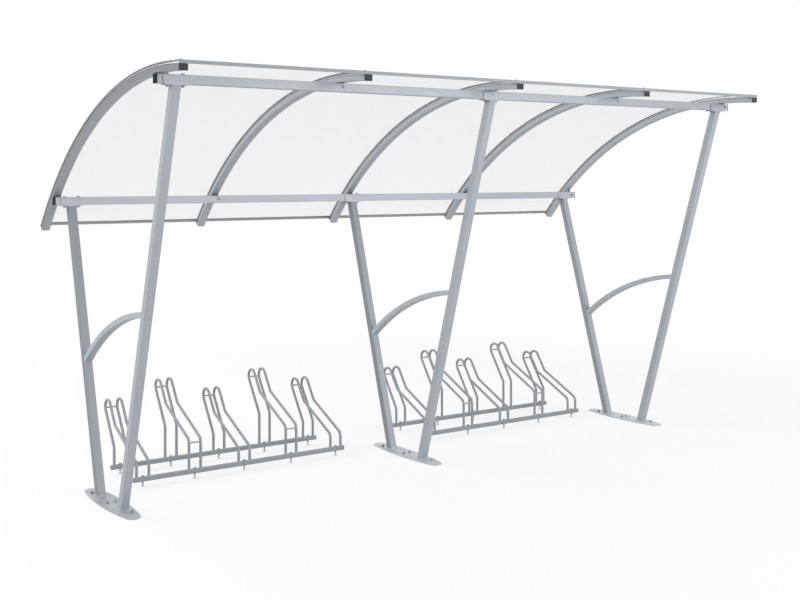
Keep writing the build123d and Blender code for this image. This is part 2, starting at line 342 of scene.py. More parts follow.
@dataclass(frozen=True)
class Finish:
    """A finish with patterns in its tone, dullness and relief."""

    name: str
    tone: Colour
    metal: float = 0.0
    roughness: float = 0.5
    gloss: float = 0.5
    relief_depth: float = 0.0002

    def patterns(self) -> tuple[Pattern, ...]:
        """The finish's patterns."""
        raise NotImplementedError

    def tint(self, recipe: Recipe) -> Union[Colour, Wire]:
        """The tone, before the patterns make it lighter and darker."""
        return self.tone

    def metalness(self, recipe: Recipe) -> Number:
        """How metallic the surface is."""
        return self.metal

    @staticmethod
    def total(parts: Iterable[tuple[Wire, float]]) -> Wire:
        """Sums patterns by their weights, leaving out those of weight 0.

        Args:
            parts: Each pattern's value with its weight.

        Returns:
            The sum.
        """
        first, *others = [wire * weight for wire, weight in parts if weight]
        return sum(others, first)

    def make(self) -> Material:
        """Makes the material.

        Returns:
            The material.
        """
        material, recipe = surface(self.name)
        kinds = [(kind, kind.wire(recipe)) for kind in self.patterns()]
        light = self.total((wire, kind.light) for kind, wire in kinds) + 1.0
        dullness = self.total((wire, kind.dullness) for kind, wire in kinds) + self.roughness
        relief = self.total((wire, kind.relief) for kind, wire in kinds)
        principled(recipe, Base_Color=recipe.shade(self.tint(recipe), light), Metallic=self.metalness(recipe),
                   Roughness=dullness, Specular_IOR_Level=self.gloss,
                   Normal=recipe.bump(relief, self.relief_depth))
        return material


@dataclass(frozen=True)
class DippedZinc(Finish):
    """Hot-dip galvanised steel: dull blue-grey zinc with faint crystals, streaks and patches."""

    tone: Colour = (0.440, 0.477, 0.518)
    metal: float = 0.35
    relief_depth: float = 0.00025
    grain: Grain = Grain.UPRIGHT
    crystals: float = 85.0

    def patterns(self) -> tuple[Pattern, ...]:
        """Lists the coat's patterns.

        Returns:
            The crystals, patches, streaks and fine grain, in this order.
        """
        return (
            Crystals(self.crystals, light=0.07, dullness=0.09, relief=0.15),
            Pattern(4.0, detail=4.0, light=0.16, dullness=0.16),
            Pattern(160.0, roughness=0.6, stretch=self.grain.value, light=0.14, dullness=0.08, relief=0.6),
            Pattern(420.0, detail=2.0, light=0.05, relief=1.0),
        )


@dataclass(frozen=True)
class OuterFaceShadedZinc(DippedZinc):
    """Zinc of an end rib with painted shade: darker beyond a distance from the shelter's middle, on the face
    that looks out of the shelter's end.
    """

    reach: float = 0.0
    painted_shade: float = 0.5
    edge: float = 0.0006

    def tint(self, recipe: Recipe) -> Union[Colour, Wire]:
        """The tone, darker on the rib's outer face as painted shade."""
        # painted shade: beyond the reach the tone loses a share, as if the outer face lay in shade
        outer = abs(recipe.along("X")).above(self.reach, self.edge)
        return recipe.shade(self.tone, 1.0 - outer * self.painted_shade)


@dataclass(frozen=True)
class FootedZinc(DippedZinc):
    """Galvanised rack bars whose levelling feet have bright plated spindles and pale plastic pads."""

    name: str = "zinc_rack_bars"
    tone: Colour = (0.285, 0.310, 0.335)
    grain: Grain = Grain.ALONG
    crystals: float = 95.0
    spindle_tone: Colour = (0.60, 0.62, 0.63)
    pad_tone: Colour = (0.80, 0.80, 0.79)
    spindle_top: float = 0.021
    pad_top: float = 0.0055
    edge: float = 0.001

    def patterns(self) -> tuple[Pattern, ...]:
        """The crystals, patches and streaks, without the fine grain."""
        return super().patterns()[:-1]

    def tint(self, recipe: Recipe) -> Union[Colour, Wire]:
        """The tones of bar, spindle and pad.

        Args:
            recipe: The node tree.

        Returns:
            The colour.
        """
        height = recipe.along("Z")
        foot = recipe.blend(height.above(self.pad_top, self.edge), self.pad_tone, self.spindle_tone)
        return recipe.blend(height.above(self.spindle_top, self.edge), foot, self.tone)

    def metalness(self, recipe: Recipe) -> Number:
        """How metallic the surface is: the pads are plastic."""
        return recipe.along("Z").above(self.pad_top, self.edge) * self.metal


@dataclass(frozen=True)
class WeldZinc(Finish):
    """Zinc over a weld seam: a little brighter and smoother than on the tubes, with fine pits."""

    name: str = "weld_zinc"
    tone: Colour = (0.47, 0.50, 0.53)
    metal: float = 0.55
    roughness: float = 0.42
    relief_depth: float = 0.0003

    def patterns(self) -> tuple[Pattern, ...]:
        """The pits and patches."""
        return Pattern(650.0, light=0.25, relief=1.0), Pattern(40.0, light=0.2, dullness=0.2)


@dataclass(frozen=True)
class PlatedBolt(Finish):
    """Zinc-plated fasteners, darker than the tubes, with handling marks."""

    name: str = "plated_bolts"
    tone: Colour = (0.30, 0.33, 0.37)
    metal: float = 0.5
    roughness: float = 0.46
    relief_depth: float = 0.00012

    def patterns(self) -> tuple[Pattern, ...]:
        """The turning rings and handling marks."""
        rings = Pattern(500.0, detail=2.0, stretch=(1.0, 1.0, 6.0), relief=1.0)
        return rings, Pattern(240.0, detail=4.0, roughness=0.6, light=0.4, dullness=0.2)


@dataclass(frozen=True)
class MillAluminium(Finish):
    """Extruded aluminium with fine drawing lines."""

    metal: float = 0.2
    roughness: float = 0.6
    relief_depth: float = 0.0001
    grain: Grain = Grain.ALONG

    def patterns(self) -> tuple[Pattern, ...]:
        """The drawing lines and patches."""
        lines = Pattern(380.0, roughness=0.6, stretch=self.grain.value, light=0.12, dullness=0.12, relief=1.0)
        return lines, Pattern(5.0, light=0.1, dullness=0.1)


@dataclass(frozen=True)
class MouldedPlastic(Finish):
    """Moulded plastic with a fine pebble grain and dust."""

    roughness: float = 0.48

    def patterns(self) -> tuple[Pattern, ...]:
        """The pebble grain and dust."""
        dust = Pattern(30.0, detail=4.0, light=0.5, dullness=0.2)
        return Pattern(900.0, detail=2.0, light=0.2, relief=1.0), dust


@dataclass(frozen=True)
class SealRubber(Finish):
    """Weather-seal rubber with fine ribs along it and a dull bloom."""

    roughness: float = 0.68
    relief_depth: float = 0.0003

    def patterns(self) -> tuple[Pattern, ...]:
        """The ribs and bloom."""
        ribs = Pattern(700.0, detail=2.0, stretch=(1.0, 0.02, 0.02), relief=1.0)
        return ribs, Pattern(18.0, detail=5.0, roughness=0.6, light=0.4, dullness=0.2)


@dataclass(frozen=True)
class DarkCoat(Finish):
    """Dark coated steel of the packers and end screws, worn lighter in spots."""

    name: str = "dark_coat"
    tone: Colour = (0.055, 0.062, 0.075)
    metal: float = 0.2

    def patterns(self) -> tuple[Pattern, ...]:
        """The wear and fine grain."""
        wear = Pattern(90.0, detail=5.0, roughness=0.65, light=1.2, dullness=0.3)
        return wear, Pattern(800.0, detail=2.0, relief=1.0)


@dataclass(frozen=True)
class FlutedSheet:
    """Clear multiwall sheet: nearly see-through channels between thin upright webs."""

    name: str = "fluted_sheet"
    tone: Colour = (0.93, 0.93, 0.93)
    web_tone: Colour = (0.72, 0.725, 0.73)
    flute: float = 0.0105
    web_share: float = 0.30
    clear_alpha: float = 0.085
    web_alpha: float = 0.165
    roughness: float = 0.6
    gloss: float = 0.0

    def make(self) -> Material:
        """Makes the material.

        Returns:
            The material.
        """
        material, recipe = surface(self.name)
        flutes = recipe.along("X") / self.flute
        phase = recipe.node("ShaderNodeMath", {"operation": "FRACT"}, {0: flutes})
        web = (abs(phase - 0.5) * 2.0).above(1.0 - self.web_share, self.web_share)
        principled(recipe, Base_Color=recipe.blend(web, self.tone, self.web_tone), Roughness=self.roughness,
                   Specular_IOR_Level=self.gloss,
                   Alpha=web * (self.web_alpha - self.clear_alpha) + self.clear_alpha)
        return material


class Shapes:
    """Small shapes that several sub-assemblies use."""

    TOP = 0.99  # share of a block's height beyond which its top lies
    HEAD_CHAMFER = 0.06  # of the size across the flats
    WASHER_CHAMFER = 0.3  # of the washer's thickness
    THREAD_ROOT = 0.87  # of the thread's radius
    THREAD_END = 0.8  # of the thread's radius
    BEAD_DIP = 0.16  # share of a bead's radius that is lost between drops
    BEAD_END = 0.6  # of the bead's radius

    @staticmethod
    def soften(mesh: Mesh, edges: Sequence[bmesh.types.BMEdge], width: float) -> None:
        """Rounds edges in two steps."""
        bmesh.ops.bevel(mesh, geom=edges, offset=width, segments=2, profile=0.5, affect="EDGES", material=-1)

    @classmethod
    def disc(cls, radius: float, height: float, sides: int = 28, chamfer: float = 0.0) -> Mesh:
        """A round or many-sided block.

        Args:
            radius: Radius of its outline's corners.
            height: Its height.
            sides: Number of sides.
            chamfer: Width of the bevel round its top.

        Returns:
            The shape.
        """
        mesh = bmesh.new()
        bmesh.ops.create_cone(mesh, cap_ends=True, segments=sides, radius1=radius, radius2=radius,
                              depth=height)
        bmesh.ops.translate(mesh, vec=UP * height / 2, verts=mesh.verts)
        if chamfer:
            rim = [e for e in mesh.edges if all(v.co.z > height * cls.TOP for v in e.verts)]
            cls.soften(mesh, rim, chamfer)
        return mesh

    @staticmethod
    def joined(*layers: tuple[Mesh, float]) -> Mesh:
        """Shapes stacked at given heights in one mesh.

        Args:
            layers: Each shape with the height of its foot.

        Returns:
            The joined shape.
        """
        whole = bmesh.new()
        for shape, height in layers:
            bmesh.ops.translate(shape, vec=UP * height, verts=shape.verts)
            part = bpy.data.meshes.new("layer")
            shape.to_mesh(part)
            shape.free()
            whole.from_mesh(part)
            bpy.data.meshes.remove(part)
        return whole

    @classmethod
    def bolt_head(cls, flats: float, height: float, washer: float, washer_height: float = 0.0022) -> Mesh:
        """A hexagon head on a washer.

        Args:
            flats: Size across the flats.
            height: Height of the head.
            washer: Radius of the washer.
            washer_height: Thickness of the washer.

        Returns:
            The shape.
        """
        corner = flats / 2 / math.cos(math.pi / 6)
        head = cls.disc(corner, height, sides=6, chamfer=flats * cls.HEAD_CHAMFER)
        base = cls.disc(washer, washer_height, chamfer=washer_height * cls.WASHER_CHAMFER)
        return cls.joined((base, 0.0), (head, washer_height))

    @classmethod
    def nut_and_stud(cls, flats: float, height: float, washer: float, stud: float, proud: float) -> Mesh:
        """A nut on a washer with the threaded end of its stud.

        Args:
            flats: Size across the flats.
            height: Height of the nut.
            washer: Radius of the washer.
            stud: Radius of the stud.
            proud: How far the stud stands out of the nut.

        Returns:
            The shape.
        """
        nut = cls.bolt_head(flats, height, washer)
        return cls.joined((nut, 0.0), (cls.thread(stud, proud), height))

    @classmethod
    def thread(cls, radius: float, length: float, pitch: float = 0.00175, sides: int = 20) -> Mesh:
        """The end of a stud, with a ridge for each turn of its thread.

        Args:
            radius: Outer radius.
            length: Its length.
            pitch: Distance between ridges.
            sides: Number of sides.

        Returns:
            The shape.
        """
        turns = max(2, round(length / pitch))
        rings = []
        for turn in range(turns):
            rings.append((turn * pitch, radius * cls.THREAD_ROOT))
            rings.append(((turn + 0.5) * pitch, radius))
        rings.append((turns * pitch, radius * cls.THREAD_END))
        return cls.swept([UP * height for height, _ in rings], [wide for _, wide in rings], sides)

    @staticmethod
    def extruded(mesh: Mesh, steps: Iterable[Matrix]) -> Mesh:
        """Drags a flat outline along step by step, which leaves a closed solid.

        Args:
            mesh: The outline with its face.
            steps: The move of each step.

        Returns:
            The solid.
        """
        ring = list(mesh.edges)
        for step in steps:
            grown = bmesh.ops.extrude_edge_only(mesh, edges=ring)["geom"]
            fresh = {part for part in grown if isinstance(part, bmesh.types.BMVert)}
            edges = [part for part in grown if isinstance(part, bmesh.types.BMEdge)]
            ring = [edge for edge in edges if fresh.issuperset(edge.verts)]
            bmesh.ops.transform(mesh, matrix=step, verts=list(fresh))
        bmesh.ops.edgeloop_fill(mesh, edges=ring)
        bmesh.ops.recalc_face_normals(mesh, faces=mesh.faces)
        return mesh

    @classmethod
    def swept(cls, points: Sequence[Vector], radii: Sequence[float], sides: int) -> Mesh:
        """A round bar along a path that lies in a plane of constant X, or along a straight line.

        Args:
            points: The path's points.
            radii: The bar's radius at each point.
            sides: Number of sides.

        Returns:
            The closed bar.
        """
        mesh = bmesh.new()
        last = len(points) - 1
        places = []
        for i, (point, radius) in enumerate(zip(points, radii)):
            along = (points[min(i + 1, last)] - points[max(i - 1, 0)]).normalized()
            turn = Matrix.Rotation(math.atan2(-along.y, along.z), 4, "X")
            if abs(along.x) > NEXT_TO_NOTHING:
                turn = along.to_track_quat("Z", "Y").to_matrix().to_4x4()
            places.append(Matrix.Translation(point) @ turn @ Matrix.Scale(radius, 4))
        bmesh.ops.create_circle(mesh, cap_ends=True, segments=sides, radius=1.0)
        bmesh.ops.transform(mesh, matrix=places[0], verts=mesh.verts)
        return cls.extruded(mesh, (after @ before.inverted() for before, after in zip(places, places[1:])))

    @classmethod
    def bead(cls, start: Vector, end: Vector, radius: float, ripple: float = 0.0032) -> Mesh:
        """A straight weld bead with a ripple for each drop.

        Args:
            start: One end.
            end: The other end.
            radius: Radius of the bead.
            ripple: Length of a ripple.

        Returns:
            The bead.
        """
        steps = max(4, round((end - start).length / ripple) * 3)
        points = [start.lerp(end, i / steps) for i in range(steps + 1)]
        dips = [abs(math.sin(math.pi * i / 3)) for i in range(steps + 1)]
        radii = [radius * (1.0 - cls.BEAD_DIP * dip) for dip in dips]
        radii[0] = radii[-1] = radius * cls.BEAD_END
        return cls.swept(points, radii, sides=8)

    @classmethod
    def arc_bar(cls, centre: Vector, radii: tuple[float, float], angles: tuple[float, float], half: float,
                steps: int) -> Mesh:
        """A flat bar bent about an axis along X.

        Args:
            centre: A point of the axis.
            radii: Distance of its inner and outer face from the axis.
            angles: Where it starts and ends, in radians from straight up towards the rear.
            half: Half of its width along X.
            steps: Number of steps along it.

        Returns:
            The closed bar.
        """
        mesh = bmesh.new()
        bmesh.ops.create_grid(mesh, x_segments=1, y_segments=1, size=1.0)
        size = Matrix.Diagonal((half, (radii[1] - radii[0]) / 2, 1.0, 1.0))
        upright = Matrix.Rotation(math.pi / 2, 4, "X")
        out = Matrix.Translation((0, 0, (radii[0] + radii[1]) / 2))
        start = Matrix.Translation(centre) @ Matrix.Rotation(-angles[0], 4, "X") @ out @ upright @ size
        bmesh.ops.transform(mesh, matrix=start, verts=mesh.verts)
        turn = Matrix.Rotation(-(angles[1] - angles[0]) / steps, 4, "X")
        step = Matrix.Translation(centre) @ turn @ Matrix.Translation(-centre)
        return cls.extruded(mesh, [step] * steps)

    @staticmethod
    def ring(radius: float, thickness: float, turns: int = 28) -> Mesh:
        """A closed ring of round section.

        Args:
            radius: Radius of its centre line.
            thickness: Radius of its section.
            turns: Number of steps round it.

        Returns:
            The ring.
        """
        mesh = bmesh.new()
        upright = Matrix.Translation((radius, 0, 0)) @ Matrix.Rotation(math.pi / 2, 4, "X")
        bmesh.ops.create_circle(mesh, segments=8, radius=thickness, matrix=upright)
        bmesh.ops.spin(mesh, geom=mesh.edges[:] + mesh.verts[:], cent=(0, 0, 0), axis=UP, angle=math.tau,
                       steps=turns, use_merge=True)
        bmesh.ops.remove_doubles(mesh, verts=mesh.verts, dist=NEXT_TO_NOTHING)
        bmesh.ops.recalc_face_normals(mesh, faces=mesh.faces)
        return mesh


def facing(point: Sequence[float], direction: Vector, turn: float = 0.0) -> Matrix:
    """Place of a shape whose Z axis is to point in a direction.

    Args:
        point: Where its foot goes.
        direction: Where its Z axis points.
        turn: Turn about its own axis, in degrees.

    Returns:
        The matrix.
    """
    aim = direction.normalized().to_track_quat("Z", "X").to_matrix().to_4x4()
    return Matrix.Translation(Vector(point)) @ aim @ Matrix.Rotation(math.radians(turn), 4, "Z")


class Piece:
    """A new piece in the making: shapes stamped into one mesh, which becomes an object on the root body."""

    def __init__(self, name: str) -> None:
        """Starts an empty piece.

        Args:
            name: The piece's name.
        """
        self.name = name
        self.mesh = bmesh.new()

    def stamp(self, shape: Mesh, places: Iterable[Matrix] = (Matrix(),)) -> "Piece":
        """Adds a shape once for each place, and frees it.

        Args:
            shape: The shape.
            places: Where it goes.

        Returns:
            The piece.
        """
        pattern = bpy.data.meshes.new("pattern")
        shape.to_mesh(pattern)
        shape.free()
        for place in places:
            before = len(self.mesh.verts)
            self.mesh.from_mesh(pattern)
            self.mesh.verts.ensure_lookup_table()
            bmesh.ops.transform(self.mesh, matrix=place, verts=self.mesh.verts[before:])
        bpy.data.meshes.remove(pattern)
        return self

    def done(self, finish: Material, slot: Slot, crease: float = 32.0) -> bpy.types.Object:
        """Makes the object, with smooth shading between edges sharper than a crease angle.

        Args:
            finish: Its material.
            slot: The record's slot; not used.
            crease: Angle in degrees from which an edge stays sharp.

        Returns:
            The object.
        """
        limit = math.radians(crease)
        for face in self.mesh.faces:
            face.smooth = True
        for edge in self.mesh.edges:
            edge.smooth = len(edge.link_faces) == 2 and edge.calc_face_angle(0.0) < limit
        data = bpy.data.meshes.new(self.name)
        self.mesh.to_mesh(data)
        self.mesh.free()
        data.materials.append(finish)
        made = bpy.data.objects.new(self.name, data)
        bpy.context.scene.collection.objects.link(made)
        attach(made, ROOT)
        LOG.info("piece %s: %d faces", self.name, len(data.polygons))
        return made


def dress(node: str, finish: Material, edge: float = 0.0, segments: int = 2) -> None:
    """Gives a CAD node its finish and, where wanted, rounded edges.

    Args:
        node: The node's name.
        finish: Its material.
        edge: Width of its rounded edges.
        segments: Steps across an edge.
    """
    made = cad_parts[node]
    made.data.materials.clear()
    made.data.materials.append(finish)
    if edge:
        weld = made.modifiers.new("joined_faces", "WELD")
        weld.merge_threshold = MERGE_REACH
        bevel = made.modifiers.new("soft_edges", "BEVEL")
        bevel.width, bevel.segments, bevel.limit_method = edge, segments, "ANGLE"
        bevel.angle_limit, bevel.use_clamp_overlap = math.radians(EDGE_ANGLE), False
        shading = made.modifiers.new("flat_faces", "WEIGHTED_NORMAL")
        shading.keep_sharp = True
    LOG.info("dressed %s", node)


def made_by(finish: Union[Finish, FlutedSheet]) -> Material:
    """A dataclass field that holds the material of a finish."""
    return field(default_factory=finish.make)


@dataclass(frozen=True)
class Finishes:
    """Every material of the shelter."""

    posts: Material = made_by(DippedZinc("zinc_posts"))
    # painted shade: the left and middle rear posts take the post zinc painted darker, for the shade on their
    # front faces
    rear_posts_painted_shade: Material = made_by(DippedZinc("zinc_rear_posts_painted_shade", (0.270, 0.292, 0.318)))
    # painted light: the right rear post takes the post zinc painted lighter than the other rear posts
    right_rear_post_painted_light: Material = made_by(DippedZinc("zinc_right_rear_post_painted_light", (0.335, 0.363, 0.395)))
    rails: Material = made_by(DippedZinc("zinc_rails", (0.415, 0.447, 0.484), grain=Grain.ALONG))
    ribs: Material = made_by(DippedZinc("zinc_ribs", RIB_TONE, grain=Grain.ACROSS))
    left_plate: Material = made_by(
        DippedZinc("zinc_left_plate", (0.45, 0.48, 0.51), roughness=0.4, crystals=60.0))
    # painted reflection: the middle and right plates take the left plate's zinc painted lighter, for the
    # bright reflection on their tops
    plates: Material = made_by(
        DippedZinc("zinc_plates_painted_reflection", (0.55, 0.586, 0.622), roughness=0.4, crystals=60.0))
    racks: Material = made_by(
        DippedZinc("zinc_racks", (0.32, 0.347, 0.373), roughness=0.45, crystals=120.0))
    rack_bars: Material = made_by(FootedZinc())
    welds: Material = made_by(WeldZinc())
    bolts: Material = made_by(PlatedBolt())
    # painted light on top of the aluminium's own pale tone: raised and made barely metallic so the shaded
    # undersides of strips and webs read light
    strips: Material = made_by(
        MillAluminium("aluminium_strips_painted_light", (0.66, 0.665, 0.67), metal=0.1, roughness=0.45, grain=Grain.ACROSS))
    seal: Material = made_by(SealRubber("black_seal", (0.075, 0.076, 0.078)))
    # painted light: the gaskets sit in shade between rib and sheet, and a near-white tone lifts them
    bead: Material = made_by(SealRubber("glazing_bead_painted_light", (0.85, 0.86, 0.87)))
    front_edge: Material = made_by(MillAluminium("aluminium_front_edge", (0.345, 0.362, 0.385)))
    rear_edge: Material = made_by(MillAluminium("aluminium_rear_edge", (0.47, 0.475, 0.475)))
    rail_caps: Material = made_by(
        MouldedPlastic("black_rail_caps", (0.008, 0.008, 0.009), roughness=0.75, gloss=0.15))
    black_caps: Material = made_by(MouldedPlastic("black_caps", (0.032, 0.032, 0.036), roughness=0.7))
    grey_caps: Material = made_by(MouldedPlastic("grey_caps", (0.36, 0.38, 0.40)))
    cleats: Material = made_by(DarkCoat())
    sheet: Material = made_by(FlutedSheet())


@dataclass
class Frames:
    """Base plates, V-shaped posts and braces, with anchors and weld seams."""

    finishes: Finishes
    places: tuple[str, ...] = ("left", "middle", "right")
    post_side: float = 0.050
    post_lean: float = 17.0
    foot_offset: float = 0.178
    plate_top: float = 0.008
    brace_height: float = 0.032
    brace_radius: float = 1.690
    brace_front_height: float = 1.152
    brace_rear_height: float = 0.793
    anchor_stagger: float = 0.025
    anchor_reach: float = 0.257
    anchor_turn: float = 35.0
    first_anchor_turn: float = 20.0
    foot_seam: float = 0.0035
    brace_seam: float = 0.0024
    seam_rise: float = 0.3
    seam_crease: float = 60.0

    def middle(self, place: str) -> float:
        """X of a frame's middle plane."""
        low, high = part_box(f"base_plate_{place}")
        return (low.x + high.x) / 2

    def post_y(self, side: int, height: float) -> float:
        """Y of a post's centre line at a height; side is -1 for the front post and 1 for the rear one."""
        return side * (self.foot_offset + height * math.tan(math.radians(self.post_lean)))

    def half_depth(self) -> float:
        """Half of a post's level depth along Y."""
        return self.post_side / 2 / math.cos(math.radians(self.post_lean))

    @staticmethod
    def outline(half: float, depth: float) -> tuple[tuple[float, float], ...]:
        """Corners of a box about 0 in order, from half its width and half its depth."""
        return (-half, -depth), (half, -depth), (half, depth), (-half, depth)

    def box_seam(self, piece: Piece, corners: Sequence[Vector], radius: float) -> None:
        """Adds four weld beads round a four-cornered joint.

        Args:
            piece: The piece that takes them.
            corners: The joint's corners in order.
            radius: Radius of the beads.
        """
        for start, end in zip(corners, [*corners[1:], corners[0]]):
            piece.stamp(Shapes.bead(start, end, radius))

    def level_seams(self, piece: Piece, side: int, height: float, radius: float, rise: int) -> None:
        """Adds the weld beads round one side's posts where they meet a level face.

        Args:
            piece: The piece that takes them.
            side: -1 for the front posts and 1 for the rear ones.
            height: Height of the face.
            radius: Radius of the beads.
            rise: 1 where the posts stand on the face and -1 where they end under it.
        """
        y, level = self.post_y(side, height), height + rise * radius * self.seam_rise
        for place in self.places:
            x = self.middle(place)
            outline = self.outline(self.post_side / 2, self.half_depth())
            self.box_seam(piece, [Vector((x + a, y + b, level)) for a, b in outline], radius)

    def foot_seams(self) -> None:
        """Makes the weld beads where the posts stand on the plates."""
        piece = Piece("post_foot_welds")
        for side in (-1, 1):
            self.level_seams(piece, side, self.plate_top, self.foot_seam, rise=1)
        piece.done(self.finishes.welds, Slot.GALVANISED, self.seam_crease)

    def brace_end(self, side: int) -> tuple[Vector, Vector]:
        """Where a brace's centre line meets a post's inner face, and the direction along that face.

        Args:
            side: -1 for the front post and 1 for the rear one.

        Returns:
            The point at X 0 and the upward direction of the face.
        """
        height = self.brace_front_height if side < 0 else self.brace_rear_height
        y = self.post_y(side, height) - side * self.half_depth()
        lean = math.radians(self.post_lean)
        return Vector((0, y, height)), Vector((0, side * math.sin(lean), math.cos(lean)))

    def brace_slope(self, side: int) -> float:
        """Angle of a brace's centre line above the level at one end.

        Args:
            side: -1 for the front post and 1 for the rear one.

        Returns:
            The angle in radians.
        """
        front, rear = self.brace_end(-1)[0], self.brace_end(1)[0]
        chord = rear - front
        spread = math.asin(chord.length / 2 / self.brace_radius)
        return math.atan2(chord.z, chord.y) - side * spread

    def brace_seams(self) -> None:
        """Makes the weld beads at both ends of the braces."""
        piece = Piece("brace_welds")
        half, depth = self.post_side / 2 - self.brace_seam, self.brace_height / 2
        for place in self.places:
            middle = Vector((self.middle(place), 0, 0))
            for side in (-1, 1):
                point, face = self.brace_end(side)
                meeting = math.atan2(face.z, face.y) - self.brace_slope(side)
                reach = depth / abs(math.sin(meeting))
                outline = self.outline(half, reach)
                corners = [middle + point + Vector((a, 0, 0)) + face * b for a, b in outline]
                self.box_seam(piece, corners, self.brace_seam)
        piece.done(self.finishes.welds, Slot.GALVANISED, self.seam_crease)

    def anchors(self) -> None:
        """Makes the anchor nuts, washers and stud ends on the base plates."""
        places = []
        for place in self.places:
            x = self.middle(place)
            for side in (-1, 1):
                for y in (0.0, -side * self.anchor_reach):
                    turn = self.first_anchor_turn + self.anchor_turn * len(places)
                    places.append(facing((x + side * self.anchor_stagger, y, self.plate_top), UP, turn))
        shape = Shapes.nut_and_stud(flats=0.017, height=0.008, washer=0.011, stud=0.005, proud=0.006)
        Piece("anchor_nuts").stamp(shape, places).done(self.finishes.bolts, Slot.GALVANISED)

    def build(self) -> None:
        """Dresses the frames and adds their seams and anchors."""
        for place in self.places:
            # painted reflection: the middle and right plates get the lighter copy of the plate zinc
            plate = self.finishes.left_plate if place == "left" else self.finishes.plates
            dress(f"base_plate_{place}", plate, edge=0.0006, segments=1)
            dress(f"front_post_{place}", self.finishes.posts, edge=0.0035, segments=3)
            # painted shade and light: each rear post's tone stands for how the light falls on it
            rear = self.finishes.right_rear_post_painted_light if place == "right" else self.finishes.rear_posts_painted_shade
            dress(f"rear_post_{place}", rear, edge=0.0035, segments=3)
            dress(f"brace_{place}", self.finishes.ribs, edge=0.0025, segments=2)
        self.foot_seams()
        self.brace_seams()
        self.anchors()


@dataclass
class Rails:
    """The two rails with their caps, cradles and bolts."""

    finishes: Finishes
    frames: Frames
    side: float = 0.050
    cradle_base: float = 0.006
    bolt_reach: float = 0.044
    face_bolt_rise: float = 0.004
    end_screw_inset: float = 0.038
    cradle_wall: float = 0.0043
    face_bolt_shift: float = 0.009
    head_turn: float = 17.0
    nut_turn: float = 23.0
    face_turn: float = 29.0
    seam: float = 0.003

    def centre(self, rail: str) -> Vector:
        """Middle of a rail."""
        low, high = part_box(rail)
        return (low + high) / 2

    def cradle_bolts(self) -> None:
        """Makes the bolt heads on the rails and the nuts under the cradles."""
        heads, nuts = [], []
        for rail in ("front_rail", "rear_rail"):
            centre = self.centre(rail)
            for place in self.frames.places:
                for side in (-1, 1):
                    x = self.frames.middle(place) + side * self.bolt_reach
                    top = centre.z + self.side / 2
                    bottom = centre.z - self.side / 2 - self.cradle_base
                    heads.append(facing((x, centre.y, top), UP, self.head_turn * len(heads)))
                    nuts.append(facing((x, centre.y, bottom), DOWN, self.nut_turn * len(nuts)))
        head = Shapes.bolt_head(flats=0.017, height=0.0055, washer=0.0105)
        nut = Shapes.nut_and_stud(flats=0.015, height=0.007, washer=0.0095, stud=0.004, proud=0.003)
        Piece("cradle_bolt_heads").stamp(head, heads).done(self.finishes.bolts, Slot.GALVANISED)
        Piece("cradle_nuts").stamp(nut, nuts).done(self.finishes.bolts, Slot.GALVANISED)

    def face_bolts(self) -> None:
        """Makes the bolt heads on the rails' front faces at all ribs but the left one."""
        places = []
        for rail in ("front_rail", "rear_rail"):
            centre = self.centre(rail)
            for i in range(2, 6):
                low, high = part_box(f"roof_rib_{i}")
                x = (low.x + high.x) / 2 + self.face_bolt_shift
                point = (x, centre.y - self.side / 2, centre.z + self.face_bolt_rise)
                places.append(facing(point, FORWARD, self.face_turn * len(places)))
        head = Shapes.bolt_head(flats=0.015, height=0.0035, washer=0.0105, washer_height=0.0012)
        Piece("rail_face_bolts").stamp(head, places).done(self.finishes.bolts, Slot.GALVANISED)

    def end_screws(self) -> None:
        """Makes the screws at the rails' right ends, on the cradles' front faces."""
        places = []
        for rail in ("front_rail", "rear_rail"):
            centre = self.centre(rail)
            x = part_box(rail)[1].x - self.end_screw_inset
            places.append(facing((x, centre.y - self.side / 2 - self.cradle_wall, centre.z), FORWARD))
        shape = Shapes.disc(radius=0.0075, height=0.003, sides=20, chamfer=0.0012)
        Piece("rail_end_screws").stamp(shape, places).done(self.finishes.cleats, Slot.DARK_STEEL)

    def cradle_seams(self) -> None:
        """Makes the weld beads between the posts' tops and the cradles."""
        piece = Piece("cradle_welds")
        for rail, side in (("front_rail", -1), ("rear_rail", 1)):
            height = self.centre(rail).z - self.side / 2 - self.cradle_base
            self.frames.level_seams(piece, side, height, self.seam, rise=-1)
        piece.done(self.finishes.welds, Slot.GALVANISED, self.frames.seam_crease)

    def build(self) -> None:
        """Dresses the rails and cradles and adds their bolts and seams."""
        for rail in ("front_rail", "rear_rail"):
            dress(rail, self.finishes.rails, edge=0.0025, segments=3)
        for cradles in ("front_cradles", "rear_cradles"):
            dress(cradles, self.finishes.rails, edge=0.0012, segments=2)
        dress("rail_caps", self.finishes.rail_caps, edge=0.0012, segments=2)
        self.cradle_bolts()
        self.face_bolts()
        self.end_screws()
        self.cradle_seams()


